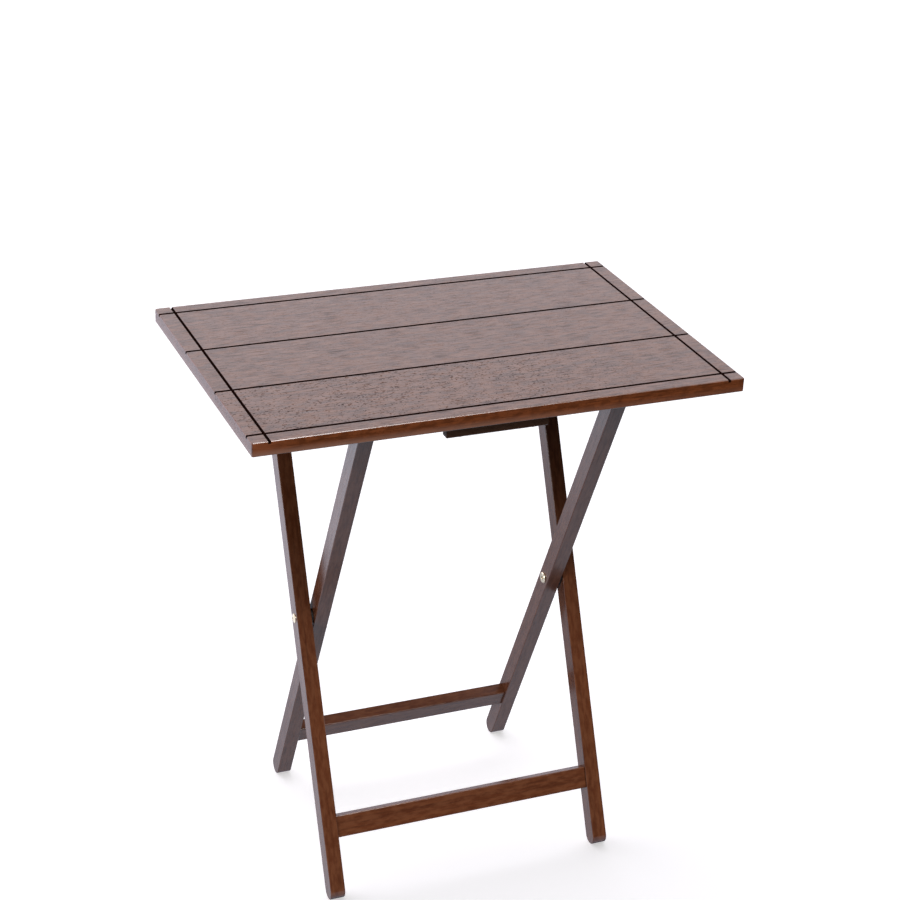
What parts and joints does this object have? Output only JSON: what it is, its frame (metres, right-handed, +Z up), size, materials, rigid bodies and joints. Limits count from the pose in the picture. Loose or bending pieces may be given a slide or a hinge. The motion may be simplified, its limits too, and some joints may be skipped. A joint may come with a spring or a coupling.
{
  "type": "folding tray table",
  "caption": "Folding tray table: grooved wooden tray on crossed leg frames that close like scissors; the tray hinges on the rear leg tops, rests on the front ones and tilts as the legs close.",
  "frame": {"origin": "on the floor, below the middle of the tray", "axes": "+X along the tray, +Y to the rear where the tray hinges, +Z up"},
  "size_m": [0.6, 0.4, 0.66],
  "materials": {
    "tray_wood": "open-pored dark walnut stain under satin lacquer, grooves stained near black",
    "frame_wood": "dark walnut stain under satin lacquer",
    "brassed_steel": "pale brass plate, lightly brushed",
    "black_nylon": "matte",
    "zinc_steel": "bright zinc plate"
  },
  "bodies": {
    "outer_frame": {"left_outer_leg": "frame_wood", "right_outer_leg": "frame_wood", "front_stretcher": "frame_wood", "leg_pivot_bolts": "brassed_steel", "leg_pivot_nuts": "brassed_steel", "leg_pivot_spacers": "black_nylon", "tray_hinge_bolts": "brassed_steel", "tray_hinge_nuts": "brassed_steel", "nut_washers": "zinc_steel", "tray_hinge_washers": "black_nylon"},
    "inner_frame": {"left_inner_leg": "frame_wood", "right_inner_leg": "frame_wood", "rear_stretcher": "frame_wood", "top_bar": "frame_wood"},
    "tray": {"tray_top": "tray_wood", "left_hinge_cleat": "frame_wood", "right_hinge_cleat": "frame_wood", "cleat_screws": "zinc_steel", "catch_block": "frame_wood", "catch_block_screws": "zinc_steel"}
  },
  "joints": [
    {"name": "leg_fold", "type": "hinge", "parent": "outer_frame", "child": "inner_frame", "pos_m": [0, -0.014, 0.32135], "axis": [-1, 0, 0], "range_deg": [0, 44]},
    {"name": "tray_tilt", "type": "hinge", "parent": "outer_frame", "child": "tray", "pos_m": [0, 0.127, 0.63145], "axis": [-1, 0, 0], "range_deg": [0, 22]}
  ],
  "couplings": [
    {"joint": "tray_tilt", "follows": "leg_fold", "ratio": 0.5}
  ]
}
